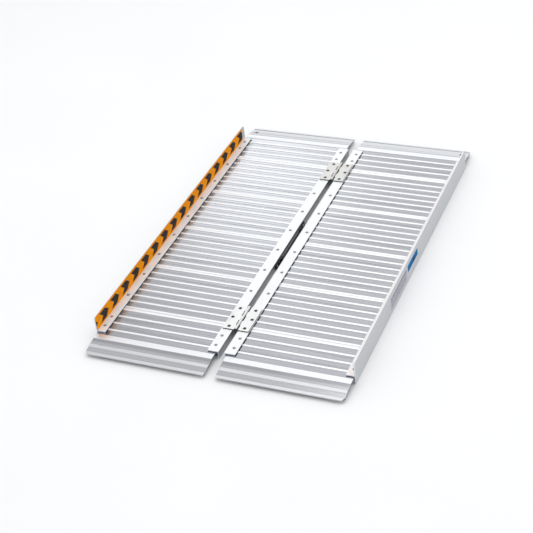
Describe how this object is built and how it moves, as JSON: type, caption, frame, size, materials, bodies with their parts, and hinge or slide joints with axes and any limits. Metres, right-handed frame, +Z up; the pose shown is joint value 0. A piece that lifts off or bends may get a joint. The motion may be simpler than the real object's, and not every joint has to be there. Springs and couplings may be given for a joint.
{
  "type": "portable wheelchair ramp",
  "caption": "Folding portable wheelchair ramp: ribbed aluminium plank halves joined by centre butt hinges, with raised side curbs, sloping end lips, strap handles and reflective tape.",
  "frame": {"origin": "centre of the unfolded ramp in plan, on the floor plane that the rails stand on", "axes": "+X to the right across the ramp, +Y along the ramp from the front lip to the back lip, +Z up"},
  "size_m": [0.7402, 1.196, 0.068],
  "materials": {
    "deck_aluminium": "mill-finish extruded, satin, bright rib tops",
    "rail_aluminium": "mill-finish extruded, satin",
    "rivet_aluminium": "satin domed heads",
    "hinge_steel": "zinc-plated, satin",
    "pin_steel": "dark oiled steel",
    "screw_black": "blackened steel",
    "screw_bright": "zinc-plated",
    "strap_rubber": "matt moulded strap",
    "cap_plastic": "matt black moulding",
    "tape_film": "retroreflective honeycomb film with dark chevrons",
    "label_blue": "printed film",
    "label_grey": "printed film"
  },
  "bodies": {
    "left_half": {"left_front_lip": "deck_aluminium", "left_plank_1": "deck_aluminium", "left_plank_2": "deck_aluminium", "left_plank_3": "deck_aluminium", "left_plank_4": "deck_aluminium", "left_back_lip": "deck_aluminium", "left_side_rail": "rail_aluminium", "left_centre_rail": "rail_aluminium", "left_side_rivets": "rivet_aluminium", "left_centre_rivets": "rivet_aluminium", "left_reflective_tape": "tape_film", "front_hinge_left_leaf": "hinge_steel", "back_hinge_left_leaf": "hinge_steel", "left_hinge_screws": "screw_black", "left_handle_strap": "strap_rubber", "left_handle_front_cap": "cap_plastic", "left_handle_back_cap": "cap_plastic", "left_handle_screws": "screw_bright", "front_hinge_pin": "pin_steel", "back_hinge_pin": "pin_steel"},
    "right_half": {"right_front_lip": "deck_aluminium", "right_plank_1": "deck_aluminium", "right_plank_2": "deck_aluminium", "right_plank_3": "deck_aluminium", "right_plank_4": "deck_aluminium", "right_back_lip": "deck_aluminium", "right_side_rail": "rail_aluminium", "right_centre_rail": "rail_aluminium", "right_side_rivets": "rivet_aluminium", "right_centre_rivets": "rivet_aluminium", "right_reflective_tape": "tape_film", "front_hinge_right_leaf": "hinge_steel", "back_hinge_right_leaf": "hinge_steel", "right_hinge_screws": "screw_black", "right_handle_strap": "strap_rubber", "right_handle_front_cap": "cap_plastic", "right_handle_back_cap": "cap_plastic", "right_handle_screws": "screw_bright", "product_label": "label_blue", "info_label": "label_grey"}
  },
  "joints": [
    {"name": "fold", "type": "hinge", "parent": "left_half", "child": "right_half", "pos_m": [0, 0, 0.0265], "axis": [0, -1, 0], "range_deg": [0, 167]}
  ]
}
